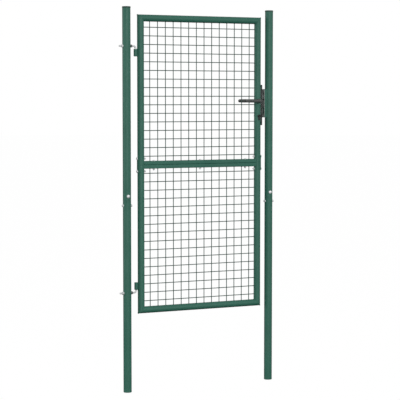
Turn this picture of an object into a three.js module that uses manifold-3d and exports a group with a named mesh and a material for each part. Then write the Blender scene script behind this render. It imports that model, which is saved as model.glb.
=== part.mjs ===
import * as THREE from 'three';
import Module from 'manifold-3d';

const wasm = await Module();
wasm.setup();

// Driving sizes in mm. X runs across the gate, Y from front to back, Z up.
const gap = 0.3;                // clearance between neighbouring pieces
const leafWidth = 804;
const leafHeight = 1745;
const leafBottom = 460.5;       // leaf above the buried ends of the posts
const postAboveLeaf = 44.5;
const hingeSideGap = 44;        // leaf to hinge post
const latchSideGap = 34;        // leaf to latch post
const frameTube = 40;
const frameWall = 2;
const postTube = 48;
const postWall = 2;
const meshPitch = 50;
const wireSize = 4.6;
const midRailDepth = 30;
const midRailTall = 22.5;       // each of the two stacked rails
const midRailWall = 1.5;
const hookRod = 10;
const barrelTube = 22;
const barrelTall = 43;
const topHingeDrop = 183;       // hook below the leaf's top
const bottomHingeRise = 125;    // hook above the leaf's bottom
const spindleRise = 372.5;      // lever axis above the leaf's middle
const keyDrop = 91;             // key axis below the lever axis
const leverLength = 104;
const leverReach = 50;          // lever grip's centre out from the leaf's middle plane
const plateThick = 3;

// Sizes that follow from them.
const frameR = frameTube / 2;
const postR = postTube / 2;
const hookR = hookRod / 2;
const barrelR = barrelTube / 2;
const leafTop = leafBottom + leafHeight;
const midZ = leafBottom + leafHeight / 2;
const stileX = leafWidth / 2 - frameR;
const railZ = [leafBottom + frameR, leafTop - frameR];
const hingePostX = -(leafWidth / 2 + hingeSideGap + postR);
const latchPostX = leafWidth / 2 + latchSideGap + postR;
const postTop = leafTop + postAboveLeaf;
const capTall = 9;
const spliceZ = postTop / 2;
const crossBoltZ = spliceZ - 27;
const carriageZ = spliceZ + 27.5;
const pinX = -(leafWidth / 2 + gap + barrelR);
const hookZ = [leafBottom + bottomHingeRise, leafTop - topHingeDrop];
const spindleZ = midZ + spindleRise;
const keyZ = spindleZ - keyDrop;
const latchZ = spindleZ + 24.5;
const deadZ = spindleZ - 59.5;
const stileBoltRise = 37;
const midRailBoltX = [-300, 0, 300].map((x) => (x * leafWidth) / 804);
const roundSides = 24;
const boltSides = 12;
const holeSides = 8;

const green = 0x3f6b5c;
const darkGreen = 0x33564a;
const zinc = 0xb9bec0;
const anthracite = 0x4a4f4f;
const steel = 0x9aa0a3;

// Solids. Each takes the axis it runs along, a base point and local sizes (u, v, w along the axis).
function place(axis, u, v, w) {
  if (axis === 'x') return [w, u, v];
  if (axis === 'y') return [v, w, u];
  return [u, v, w];
}

function loft(axis, at, rings) {
  const n = rings[0].length;
  const last = (rings.length - 1) * n;
  const points = rings.flat().map(([u, v, w]) => place(axis, u, v, w).map((c, i) => c + at[i]));
  const tris = [];
  for (let r = 0; r < rings.length - 1; r += 1) {
    for (let j = 0; j < n; j += 1) {
      const a = r * n + j;
      const b = r * n + ((j + 1) % n);
      tris.push([a, b, b + n], [a, b + n, a + n]);
    }
  }
  for (let j = 1; j < n - 1; j += 1) {
    tris.push([0, j + 1, j], [last, last + j, last + j + 1]);
  }
  return new wasm.Manifold(new wasm.Mesh({
    numProp: 3,
    vertProperties: new Float32Array(points.flat()),
    triVerts: new Uint32Array(tris.flat()),
  }));
}

function circle(r, w, n) {
  return Array.from({ length: n }, (_, k) => {
    const t = (2 * Math.PI * k) / n;
    return [r * Math.cos(t), r * Math.sin(t), w];
  });
}

// profile is a list of [radius, w] in the order of growing w
function turned(axis, at, profile, n) {
  return loft(axis, at, profile.map(([r, w]) => circle(r, w, n)));
}

function rod(axis, at, r, w0, w1, n = boltSides) {
  return turned(axis, at, [[r, w0], [r, w1]], n);
}

// a cutter whose flats stand at least r from its axis
function bore(axis, at, r, w0, w1, n = holeSides) {
  return rod(axis, at, r / Math.cos(Math.PI / n), w0, w1, n);
}

function box(x, y, z) {
  const flat = [[x[0], y[0]], [x[1], y[0]], [x[1], y[1]], [x[0], y[1]]];
  return loft('z', [0, 0, 0], z.map((h) => flat.map(([a, b]) => [a, b, h])));
}

function around(centre, half) {
  return [centre - half, centre + half];
}

// a round tube whose two ends follow low(u, v) and high(u, v)
function pipe(axis, at, r, wall, low, high) {
  const ring = circle(r, 0, roundSides);
  const ends = [low, high].map((end) => ring.map(([u, v]) => [u, v, end(u, v)]));
  const inner = [ends[0], ends[1]].map((e) => e.map((p) => p[2]));
  const from = Math.min(...inner[0]) - 1;
  const to = Math.max(...inner[1]) + 1;
  return loft(axis, at, ends).subtract(rod(axis, at, r - wall, from, to, roundSides));
}

function pipeZ(x, r, wall, z0, z1) {
  return pipe('z', [x, 0, 0], r, wall, () => z0, () => z1);
}

function roundedBar(axis, at, halfU, halfV, r, w0, w1) {
  const flat = [];
  for (let c = 0; c < 4; c += 1) {
    const su = c === 0 || c === 3 ? 1 : -1;
    const sv = c < 2 ? 1 : -1;
    for (let k = 0; k <= 3; k += 1) {
      const t = ((c + k / 3) * Math.PI) / 2;
      flat.push([su * (halfU - r) + r * Math.cos(t), sv * (halfV - r) + r * Math.sin(t)]);
    }
  }
  return loft(axis, at, [w0, w1].map((w) => flat.map(([u, v]) => [u, v, w])));
}

// an oval bar along points in one plane; up is that plane's normal
function sweep(points, up, halfUp, halfSide, n) {
  const rings = points.map((p, i) => {
    const next = points[Math.min(i + 1, points.length - 1)];
    const before = points[Math.max(i - 1, 0)];
    const along = new THREE.Vector3(...next).sub(new THREE.Vector3(...before)).normalize();
    const side = along.clone().cross(up);
    return circle(1, 0, n).map(([c, s]) => {
      const q = new THREE.Vector3(...p);
      q.addScaledVector(up, c * halfUp(i)).addScaledVector(side, s * halfSide(i));
      return q.toArray();
    });
  });
  return loft('z', [0, 0, 0], rings);
}

// Pieces.
const pieces = [];

function add(name, solid, color) {
  pieces.push({ name, solid, color });
}

function hexNut(axis, at, across, w0, w1) {
  return rod(axis, at, across / Math.sqrt(3), w0, w1, 6);
}

function ordered(a, b) {
  return [Math.min(a, b), Math.max(a, b)];
}

// an M8 bolt along an axis, its domed head resting at headAt and its nut at nutAt
function domedBolt(axis, at, headAt, nutAt, headR = 9) {
  const s = Math.sign(headAt - nutAt);
  const dome = [[headR, headAt], [headR * 0.8, headAt + s * 3], [headR * 0.38, headAt + s * 4.5]];
  const shank = ordered(headAt + s * 0.5, nutAt - s * 10.5);
  const nut = ordered(nutAt, nutAt - s * 6.5);
  return rod(axis, at, 4, shank[0], shank[1])
    .add(turned(axis, at, s > 0 ? dome : dome.reverse(), boltSides))
    .add(hexNut(axis, at, 13, nut[0], nut[1]));
}

// a washer bent to sit on a round tube, reaching from the tube to the given distance
function saddle(axis, at, r, reach, tubeR, sign) {
  const span = sign > 0 ? [1, reach] : [-reach, -1];
  const disc = rod(axis, at, r, span[0], span[1], boltSides);
  return disc.subtract(bore('z', [at[0], at[1], at[2]], tubeR + gap, -30, 30, roundSides));
}

const boltHole = 4 + gap;

for (const [side, x] of [['hinge', hingePostX], ['latch', latchPostX]]) {
  const sleeveR = postR - postWall - gap;
  const cross = bore('x', [x, 0, crossBoltZ], boltHole, -40, 40);
  const carriage = bore('y', [x, 0, carriageZ], boltHole, -40, 40);
  let lower = pipeZ(x, postR, postWall, 0, spliceZ - gap / 2).subtract(cross);
  let upper = pipeZ(x, postR, postWall, spliceZ + gap / 2, postTop - capTall).subtract(carriage);
  if (side === 'hinge') {
    lower = lower.subtract(bore('x', [x, 0, hookZ[0]], hookR + gap, -40, 40));
    upper = upper.subtract(bore('x', [x, 0, hookZ[1]], hookR + gap, -40, 40));
  }
  add(`${side}_post_lower`, lower, green);
  add(`${side}_post_upper`, upper, green);
  const sleeve = pipeZ(x, sleeveR, 2, spliceZ - 100, spliceZ + 100).subtract(cross).subtract(carriage);
  add(`${side}_post_sleeve`, sleeve, steel);
  const capProfile = [[sleeveR - gap, -14], [sleeveR - gap, gap], [postR + 1, gap], [postR + 1, 5],
    [postR - 0.5, 8], [postR - 4, capTall]];
  add(`${side}_post_cap`, turned('z', [x, 0, postTop - capTall], capProfile, roundSides), darkGreen);

  const reach = postR + 2.5;
  const atCarriage = [x, 0, carriageZ];
  const rear = saddle('y', atCarriage, 9, reach, postR, 1);
  add(`${side}_post_carriage_bolt`, domedBolt('y', atCarriage, -postR - gap, reach, 10.2).add(rear), zinc);

  const atCross = [x, 0, crossBoltZ];
  const crossBolt = rod('x', atCross, 4, -reach - 5, reach + 5.5)
    .add(hexNut('x', atCross, 13, -reach - 4.2, -reach + 0.1))
    .add(hexNut('x', atCross, 13, reach - 0.1, reach + 5.5))
    .add(saddle('x', atCross, 8, reach, postR, -1))
    .add(saddle('x', atCross, 8, reach, postR, 1));
  add(`${side}_post_cross_bolt`, crossBolt, zinc);
}

// Hinges: a hooked rod through the hinge post, a nut on each side of it, and a barrel on the stile.
for (const [end, z, turn] of [['bottom', hookZ[0], 1], ['top', hookZ[1], -1]]) {
  const bend = 13.5;
  const path = [[hingePostX - 47, 0, z]];
  for (let k = 0; k <= 6; k += 1) {
    const t = (k / 6) * (Math.PI / 2);
    path.push([pinX - bend + bend * Math.sin(t), 0, z + turn * bend * (1 - Math.cos(t))]);
  }
  path.push([pinX, 0, z + turn * (bend + barrelTall + 1)]);
  const hook = sweep(path, new THREE.Vector3(0, 1, 0), () => hookR, () => hookR, boltSides);
  add(`${end}_hinge_hook`, hook, zinc);
  for (const [where, sign] of [['outer', -1], ['inner', 1]]) {
    const at = [hingePostX, 0, z];
    const span = ordered((postR + 2.8) * sign, (postR + 9) * sign);
    const nut = hexNut('x', at, 16, span[0], span[1]).add(saddle('x', at, 9, postR + 3, postR, sign));
    const hole = bore('x', at, hookR + gap, -40, 40);
    add(`${end}_hinge_${where}_nut`, nut.subtract(hole), sign < 0 ? zinc : anthracite);
  }
  const near = z + turn * (bend + 3);
  const far = near + turn * barrelTall;
  const span = ordered(near, far);
  const hole = bore('z', [pinX, 0, 0], hookR + 0.4, span[0] - 1, span[1] + 1, boltSides);
  add(`${end}_hinge_barrel`, rod('z', [pinX, 0, 0], barrelR, span[0], span[1], 20).subtract(hole), green);
}

// Leaf frame: mitred rails and stiles, the stiles cut in two at mid-height and joined by sleeves.
const mitre = gap / Math.SQRT2;
for (const [name, z, s] of [['bottom_rail', railZ[0], -1], ['top_rail', railZ[1], 1]]) {
  const low = (u, v) => -stileX - s * v + mitre;
  const high = (u, v) => stileX + s * v - mitre;
  add(name, pipe('x', [0, 0, z], frameR, frameWall, low, high), green);
}

const stileBoltZ = [midZ - stileBoltRise, midZ + stileBoltRise];
const collarTall = 90;
const collarThick = 3;

function euroSolid(grow, y0, y1, sides) {
  const at = [stileX, 0, keyZ];
  const foot = [stileX, 0, keyZ - 19.5];
  return rod('y', at, 8.5 + grow, y0, y1, sides)
    .add(box(around(stileX, 5 + grow), [y0, y1], [keyZ - 19.5, keyZ]))
    .add(rod('y', foot, 5 + grow, y0, y1, 12));
}

const caseX = [stileX - 15.6, stileX + frameR];
const caseZ = [keyZ - 34, spindleZ + 78];
const forendX = [stileX + frameR + gap, stileX + frameR + gap + plateThick];
const forendZ = [spindleZ - 146.5, spindleZ + 96.5];
const forendScrewZ = [forendZ[0] + 9, forendZ[1] - 9];
const latchHalf = 14;
const deadHalf = 15;
const boltHalf = 6;

for (const [side, s] of [['hinge', -1], ['latch', 1]]) {
  const x = s * stileX;
  const bolts = stileBoltZ.map((z) => bore('x', [x, 0, z], boltHole, -40, 40));
  const lowEnd = (u) => railZ[0] - s * u + mitre;
  const highEnd = (u) => railZ[1] + s * u - mitre;
  const lower = pipe('z', [x, 0, 0], frameR, frameWall, lowEnd, () => midZ - gap / 2).subtract(bolts[0]);
  let upper = pipe('z', [x, 0, 0], frameR, frameWall, () => midZ + gap / 2, highEnd).subtract(bolts[1]);
  if (side === 'latch') {
    upper = upper
      .subtract(box([x, x + 30], around(0, 8.1), [caseZ[0] - gap, caseZ[1] + gap]))
      .subtract(euroSolid(gap, -25, 25, 16))
      .subtract(bore('y', [x, 0, spindleZ], 7, -25, 25));
    for (const z of forendScrewZ) {
      upper = upper.subtract(bore('x', [x, 0, z], 2.3 + gap, 5, 30));
    }
  }
  add(`${side}_stile_lower`, lower, green);
  add(`${side}_stile_upper`, upper, green);
  const sleeve = pipeZ(x, frameR - frameWall - gap, 2, midZ - 60, midZ + 60);
  add(`${side}_stile_sleeve`, sleeve.subtract(bolts[0]).subtract(bolts[1]), steel);

  const zs = around(midZ, collarTall / 2);
  const shell = rod('z', [x, 0, 0], frameR + gap + collarThick, zs[0], zs[1], roundSides)
    .subtract(bore('z', [x, 0, 0], frameR + gap, zs[0] - 1, zs[1] + 1, roundSides))
    .intersect(box(ordered(x + s * 4, x + s * 40), [-40, 40], [zs[0] - 2, zs[1] + 2]));
  add(`${side}_stile_collar`, shell.subtract(bolts[0]).subtract(bolts[1]), green);

  ['lower', 'upper'].forEach((half, i) => {
    const at = [x, 0, stileBoltZ[i]];
    const outer = s * (frameR + collarThick + 2 * gap);
    add(`${side}_stile_${half}_bolt`, domedBolt('x', at, outer, -s * (frameR + gap)), zinc);
  });
}

// Two stacked middle rails, coped to the stiles and bolted together.
const midBoltHoles = midRailBoltX.map((x) => bore('z', [x, 0, midZ], boltHole, -40, 40));
for (const [name, s] of [['lower_mid_rail', -1], ['upper_mid_rail', 1]]) {
  const tall = (midRailTall - gap / 2) / 2;
  const at = [0, 0, midZ + s * (gap / 2 + tall)];
  const halfY = midRailDepth / 2;
  let rail = roundedBar('x', at, halfY, tall, 5, -stileX, stileX)
    .subtract(roundedBar('x', at, halfY - midRailWall, tall - midRailWall, 3.5, -stileX - 1, stileX + 1));
  for (const x of [-stileX, stileX]) {
    rail = rail.subtract(bore('z', [x, 0, midZ], frameR + gap, -40, 40, roundSides));
  }
  for (const hole of midBoltHoles) {
    rail = rail.subtract(hole);
  }
  add(name, rail, green);
}
const midHalf = midRailTall + gap;
['left', 'middle', 'right'].forEach((where, i) => {
  add(`mid_rail_${where}_bolt`, domedBolt('z', [midRailBoltX[i], 0, midZ], midHalf, -midHalf), zinc);
});

// Welded mesh, one panel above and one below the middle rails.
const wireEnds = stileX - frameR - gap;
const wireXs = [];
for (let x = meshPitch / 2; x < wireEnds - 12; x += meshPitch) {
  wireXs.push(-x, x);
}
for (const [name, s, rail] of [['lower_mesh', -1, railZ[0]], ['upper_mesh', 1, railZ[1]]]) {
  const far = rail - s * (frameR + gap);
  const near = midZ + s * (midRailTall + gap);
  const half = wireSize / 2;
  const zs = ordered(near, far);
  const bars = wireXs.map((x) => box(around(x, half), around(0, half), zs));
  for (let z = midZ + s * meshPitch; s * (far - z) > 12; z += s * meshPitch) {
    bars.push(box([-wireEnds, wireEnds], around(0, half), around(z, half)));
  }
  add(name, bars.reduce((sum, bar) => sum.add(bar)), green);
}

// Lock in the latch stile.
const hubR = 9;
const lockCase = box(caseX, around(0, 7.8), caseZ)
  .subtract(box([caseX[0] + 1.5, caseX[1] + 5], around(0, 6.3), [caseZ[0] + 1.5, caseZ[1] - 1.5]))
  .subtract(bore('y', [stileX, 0, spindleZ], hubR + gap, -10, 10, 16))
  .subtract(euroSolid(gap, -10, 10, 16));
add('lock_case', lockCase, steel);

function countersunk(x0, z, r, grow, length) {
  const head = [[2 * r + grow, -0.01], [r + grow, 2.4], [r + grow, length]];
  return turned('x', [x0, 0, z], head, boltSides);
}

// a screw whose head faces +X, with its tip towards -X
function screwFromRight(x0, z, r, grow, length) {
  const head = [[r + grow, -length], [r + grow, -2.4], [2 * r + grow, 0.01]];
  return turned('x', [x0, 0, z], head, boltSides);
}

let forend = box(forendX, around(0, frameR), forendZ)
  .subtract(box([forendX[0] - 1, forendX[1] + 1], around(0, boltHalf + gap), around(latchZ, latchHalf + gap)))
  .subtract(box([forendX[0] - 1, forendX[1] + 1], around(0, boltHalf + gap), around(deadZ, deadHalf + gap)));
for (const z of forendScrewZ) {
  forend = forend.subtract(screwFromRight(forendX[1], z, 2.3, gap, 20));
}
add('lock_forend', forend, anthracite);
['bottom', 'top'].forEach((end, i) => {
  add(`forend_${end}_screw`, screwFromRight(forendX[1], forendScrewZ[i], 2.3, 0, 12), zinc);
});

const cylinderHalf = 30;
const plugR = 6.2;
const plugInner = 6;
const cylinder = euroSolid(0, -cylinderHalf, cylinderHalf, 16)
  .subtract(bore('y', [stileX, 0, keyZ], plugR + gap, -cylinderHalf - 1, -plugInner + gap, 16))
  .subtract(bore('y', [stileX, 0, keyZ], plugR + gap, plugInner - gap, cylinderHalf + 1, 16));
add('lock_cylinder', cylinder, anthracite);
for (const [name, s] of [['front_key_plug', -1], ['rear_key_plug', 1]]) {
  const span = ordered(s * plugInner, s * cylinderHalf);
  const slot = ordered(s * (cylinderHalf - 10), s * (cylinderHalf + 1));
  const plug = rod('y', [stileX, 0, keyZ], plugR, span[0], span[1], 16);
  add(name, plug.subtract(box(around(stileX, 1.1), slot, [keyZ - 4.6, keyZ + 3.8])), steel);
}

const boltTip = forendX[1] + 25;
const latchLength = 38;
const latchFlat = [[boltTip - latchLength, -boltHalf], [boltTip, -boltHalf], [boltTip, -boltHalf + 2],
  [boltTip - 12, boltHalf], [boltTip - latchLength, boltHalf]];
const latchRings = around(latchZ, latchHalf).map((z) => latchFlat.map(([a, b]) => [a, b, z]));
add('latch_bolt', loft('z', [0, 0, 0], latchRings), steel);
add('dead_bolt', box([forendX[1] - 36, forendX[1]], around(0, boltHalf), around(deadZ, deadHalf)), steel);

// Levers, their roses, the square spindle and the hub that it turns.
const squareHalf = 4;
const roseFace = 28;
const hub = rod('y', [stileX, 0, spindleZ], hubR, -7.6, 7.6, 16)
  .subtract(box(around(stileX, squareHalf + gap), [-10, 10], around(spindleZ, squareHalf + gap)));
add('lever_hub', hub, steel);
const spindleHalf = leverReach - 7;
const spindle = box(around(stileX, squareHalf), around(0, spindleHalf), around(spindleZ, squareHalf));
add('lever_spindle', spindle, steel);
for (const [side, s] of [['front', -1], ['rear', 1]]) {
  const at = [stileX, 0, spindleZ];
  const disc = ordered(s * 10, s * roseFace);
  const bevel = s < 0 ? [[10.8, disc[0]], [12, disc[0] + 2], [12, disc[1]]]
    : [[12, disc[0]], [12, disc[1] - 2], [10.8, disc[1]]];
  const rose = turned('y', at, bevel, 20)
    .subtract(bore('z', at, frameR + gap, -30, 30, roundSides))
    .subtract(bore('y', at, 6.2, -40, 40));
  add(`${side}_rose`, rose, anthracite);

  const bend = 11;
  const path = [[stileX, s * (roseFace + gap), spindleZ], [stileX, s * (leverReach - bend), spindleZ]];
  for (let k = 1; k <= 4; k += 1) {
    const t = (k / 4) * (Math.PI / 2);
    path.push([stileX - bend * (1 - Math.cos(t)), s * (leverReach - bend + bend * Math.sin(t)), spindleZ]);
  }
  const tipX = stileX - leverLength;
  for (const back of [60, 34, 13, 5, 1.2, 0]) {
    path.push([tipX + back, s * leverReach, spindleZ]);
  }
  const up = [9.3, 9.3, 9.2, 9.1, 9.1, 9.2, 10.4, 10.3, 9.1, 7.2, 4, 2.2];
  const across = [9.3, 9.3, 8.9, 8.2, 7.4, 7, 6.8, 6.5, 6, 5, 3, 1.6];
  const lever = sweep(path, new THREE.Vector3(0, 0, 1), (i) => up[i], (i) => across[i], 16);
  const deep = ordered(s * (roseFace - 1), s * (spindleHalf + gap));
  const socket = box(around(stileX, squareHalf + gap), deep, around(spindleZ, squareHalf + gap));
  add(`${side}_lever`, lever.subtract(socket), anthracite);
}

// Strike on the latch post: a welded block with two pockets, and a screwed plate over it.
const strikeX = [forendX[1] + 15.7, forendX[1] + 15.7 + plateThick];
const strikeHalfY = 15;
const strikeZ = around(spindleZ - 14.5, 85.5);
const pockets = [around(latchZ, 20), around(deadZ, 20.5)];
const strikeScrewZ = [strikeZ[0] + 8, strikeZ[1] - 8];
let strikeBox = box([strikeX[1] + gap, latchPostX - 10], around(0, strikeHalfY), strikeZ)
  .subtract(bore('z', [latchPostX, 0, spindleZ], postR + gap, -200, 200, roundSides));
let strikePlate = box(strikeX, around(0, strikeHalfY), strikeZ);
for (const span of pockets) {
  strikeBox = strikeBox.subtract(box([strikeX[0], boltTip + 3.2], around(0, 9), span));
  strikePlate = strikePlate.subtract(box([strikeX[0] - 1, strikeX[1] + 1], around(0, 9), span));
}
for (const z of strikeScrewZ) {
  const hole = countersunk(strikeX[0], z, 2.3, gap, 13);
  strikeBox = strikeBox.subtract(hole);
  strikePlate = strikePlate.subtract(hole);
}
add('strike_box', strikeBox, green);
add('strike_plate', strikePlate, anthracite);
['bottom', 'top'].forEach((end, i) => {
  add(`strike_${end}_screw`, countersunk(strikeX[0], strikeScrewZ[i], 2.3, 0, 12), zinc);
});

// Meshes, moved so that the origin is the middle of the whole part's footprint.
const group = new THREE.Group();
group.name = 'garden_gate';
for (const { name, solid, color } of pieces) {
  const { vertProperties, triVerts } = solid.getMesh();
  const geometry = new THREE.BufferGeometry();
  geometry.setAttribute('position', new THREE.BufferAttribute(new Float32Array(vertProperties), 3));
  geometry.setIndex(new THREE.BufferAttribute(new Uint32Array(triVerts), 1));
  geometry.computeVertexNormals();
  const mesh = new THREE.Mesh(geometry, new THREE.MeshStandardMaterial({ color }));
  mesh.name = name;
  group.add(mesh);
}
const bounds = new THREE.Box3().setFromObject(group);
const middle = bounds.getCenter(new THREE.Vector3());
for (const mesh of group.children) {
  mesh.geometry.translate(-middle.x, -middle.y, -bounds.min.z);
}

export default group;
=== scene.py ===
import math

import bmesh
import bpy
import numpy as np
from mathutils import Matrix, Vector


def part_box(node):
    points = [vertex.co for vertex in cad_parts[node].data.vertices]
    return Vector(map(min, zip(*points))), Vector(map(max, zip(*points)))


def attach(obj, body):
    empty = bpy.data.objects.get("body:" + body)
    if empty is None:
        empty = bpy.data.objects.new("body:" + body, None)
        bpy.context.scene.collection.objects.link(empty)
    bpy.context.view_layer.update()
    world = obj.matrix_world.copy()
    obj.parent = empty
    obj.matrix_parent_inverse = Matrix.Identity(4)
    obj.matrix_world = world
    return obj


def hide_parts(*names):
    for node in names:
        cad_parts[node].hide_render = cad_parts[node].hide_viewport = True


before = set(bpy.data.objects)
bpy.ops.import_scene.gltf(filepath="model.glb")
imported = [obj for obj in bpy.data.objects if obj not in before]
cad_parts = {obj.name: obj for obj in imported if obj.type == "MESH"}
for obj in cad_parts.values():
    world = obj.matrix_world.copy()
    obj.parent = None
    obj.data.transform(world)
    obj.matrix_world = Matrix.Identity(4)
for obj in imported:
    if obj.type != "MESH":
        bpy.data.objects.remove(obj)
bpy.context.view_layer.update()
print("frame loaded")

# Everything below is in millimetres and is turned to metres when a mesh is made.
# X runs from the hinge post to the latch post, Y from front to back, Z up.


def spanOf(node):
    low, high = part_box(node)
    return np.array(low) * 1000, np.array(high) * 1000


def middleOf(node):
    low, high = spanOf(node)
    return (low + high) / 2


gate = {
    "hingePostX": middleOf("hinge_post_lower")[0], "latchPostX": middleOf("latch_post_lower")[0],
    "hingeStileX": middleOf("hinge_stile_lower")[0], "latchStileX": middleOf("latch_stile_lower")[0],
    "bottomRailZ": middleOf("bottom_rail")[2], "topRailZ": middleOf("top_rail")[2],
    "middleZ": (spanOf("lower_mid_rail")[1][2] + spanOf("upper_mid_rail")[0][2]) / 2,
    "centreX": middleOf("lower_mesh")[0], "meshPitch": 50.0,
}
tube = {"radius": 20.0, "wall": 2.0, "lip": 0.5, "sides": 72}


# shapes


def unitCircle(sides):
    t = np.arange(sides) * 2 * np.pi / sides
    return np.cos(t), np.sin(t)


def onAxis(axis, u, v, w):
    # u, v across and w along the named axis, turned into x, y, z
    order = {"x": (w, u, v), "y": (v, w, u), "z": (u, v, w)}[axis]
    return np.stack(np.broadcast_arrays(*order), -1)


def turnedGrid(axis, centre, profile, sides, across=1.0):
    # point(i, t) = centre + r(i) * across(t) * (cos t, sin t) + h(i) along the axis
    p = np.array(profile, float)
    c, s = unitCircle(sides)
    r = p[:, :1] * across
    return onAxis(axis, r * c, r * s, p[:, 1:] + 0 * c) + np.array(centre, float)


def tubeGrid(axis, centre, radius, wall, low, high, lip, sides):
    # a closed wall: out, over the high end, back inside, under the low end.
    # low and high give the ends as functions of the place (u, v) on the ring
    c, s = unitCircle(sides)
    rows = []
    for r, end, step in ((radius - lip, 0, 0), (radius, 0, lip), (radius, 0, 3), (radius, 1, -3), (radius, 1, -lip),
                         (radius - lip, 1, 0), (radius - wall + lip, 1, 0), (radius - wall, 1, -lip),
                         (radius - wall, 0, lip), (radius - wall + lip, 0, 0)):
        u, v = r * c, r * s
        rows.append(onAxis(axis, u, v, (high(u, v) if end else low(u, v)) + step))
    return np.stack(rows) + np.array(centre, float)


def sweptGrid(path, normal, halfUp, halfSide, sides, power=2.0, closed=False):
    # point(i, t) = path(i) + up(i) * c(t) * normal + side(i) * s(t) * (tangent x normal),
    # where c and s trace a superellipse of the given power
    path = np.array(path, float)
    if closed:
        along = np.roll(path, -1, 0) - np.roll(path, 1, 0)
    else:
        along = np.gradient(path, axis=0)
    along /= np.linalg.norm(along, axis=1, keepdims=True)
    normal = np.broadcast_to(np.array(normal, float), path.shape)
    side = np.cross(along, normal)
    side /= np.linalg.norm(side, axis=1, keepdims=True)
    up = np.cross(side, along)
    c, s = unitCircle(sides)
    c = np.sign(c) * np.abs(c) ** (2 / power)
    s = np.sign(s) * np.abs(s) ** (2 / power)
    a, b = [np.array(h, float).reshape(-1, 1, 1) if np.ndim(h) < 2 else h[:, :, None] for h in (halfUp, halfSide)]
    return path[:, None] + a * c[None, :, None] * up[:, None] + b * s[None, :, None] * side[:, None]


def gridFaces(rows, columns, loop):
    # quads of a grid whose columns close on themselves, and whose rows do too when loop is set
    r = np.arange(rows if loop else rows - 1)[:, None]
    c = np.arange(columns)[None, :]
    below, above = r * columns, ((r + 1) % rows) * columns
    right = (c + 1) % columns
    return np.stack([below + c, below + right, above + right, above + c], -1).reshape(-1, 4)


def shell(grid, loop=False):
    # a part is its points, its faces' corners in one row, and each face's number of corners.
    # A grid that doesn't loop gets a flat face over the points of its first and its last row
    rows, columns = grid.shape[:2]
    corners = gridFaces(rows, columns, loop).ravel()
    sizes = np.full(len(corners) // 4, 4)
    if not loop:
        ring = np.arange(columns)
        corners = np.concatenate([corners, ring[::-1], (rows - 1) * columns + ring])
        sizes = np.append(sizes, [columns, columns])
    return grid.reshape(-1, 3), corners, sizes


def repeated(part, offsets):
    # the same shell at every offset
    verts, corners, sizes = part
    offsets = np.array(offsets, float)
    count = len(offsets)
    many = (verts[None] + offsets[:, None]).reshape(-1, 3)
    return many, (corners[None] + len(verts) * np.arange(count)[:, None]).ravel(), np.tile(sizes, count)


def edgeAmount(verts, corner, sizes):
    # how sharply the faces turn at each vertex, 0 on a smooth wall and 1 on a right angle.
    # Each face's normal is the cross product of the lines between four of its corners
    start = np.cumsum(sizes) - sizes
    a, b, c, d = [verts[corner[start + k * sizes // 4]] for k in range(4)]
    n = np.cross(c - a, d - b)
    n /= np.maximum(np.linalg.norm(n, axis=1, keepdims=True), 1e-12)
    owner = np.repeat(np.arange(len(sizes)), sizes)
    total = np.zeros_like(verts)
    np.add.at(total, corner, n[owner])
    total /= np.maximum(np.linalg.norm(total, axis=1, keepdims=True), 1e-12)
    off = np.zeros(len(verts))
    np.maximum.at(off, corner, 1 - np.sum(total[corner] * n[owner], axis=1))
    return np.clip(off * 4, 0, 1)


def newMesh(name, verts, corners, sizes):
    mesh = bpy.data.meshes.new(name)
    mesh.vertices.add(verts.size // 3)
    mesh.vertices.foreach_set("co", verts.ravel())
    mesh.loops.add(len(corners))
    mesh.loops.foreach_set("vertex_index", corners)
    mesh.polygons.add(len(sizes))
    mesh.polygons.foreach_set("loop_start", np.cumsum(sizes) - sizes)
    mesh.update(calc_edges=True)
    return mesh


def makePiece(name, parts, finish, body, nodes=(), crease=32):
    counts = np.array([len(part[0]) for part in parts])
    base = np.cumsum(counts) - counts
    verts = np.concatenate([part[0] for part in parts])
    corners = np.concatenate([part[1] + first for part, first in zip(parts, base)])
    sizes = np.concatenate([part[2] for part in parts])
    mesh = newMesh(name, verts * 0.001, corners, sizes)
    mesh.attributes.new("edge", "FLOAT", "POINT").data.foreach_set("value", edgeAmount(verts, corners, sizes))
    mesh.shade_smooth()
    mesh.set_sharp_from_angle(angle=math.radians(crease))
    mesh.materials.append(finish)
    piece = bpy.data.objects.new(name, mesh)
    bpy.context.scene.collection.objects.link(piece)
    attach(piece, body)
    if nodes:
        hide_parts(*nodes)
    return piece


def readBack(things, field, width, kind):
    values = np.zeros(len(things) * width, kind)
    things.foreach_get(field, values)
    return values


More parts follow.
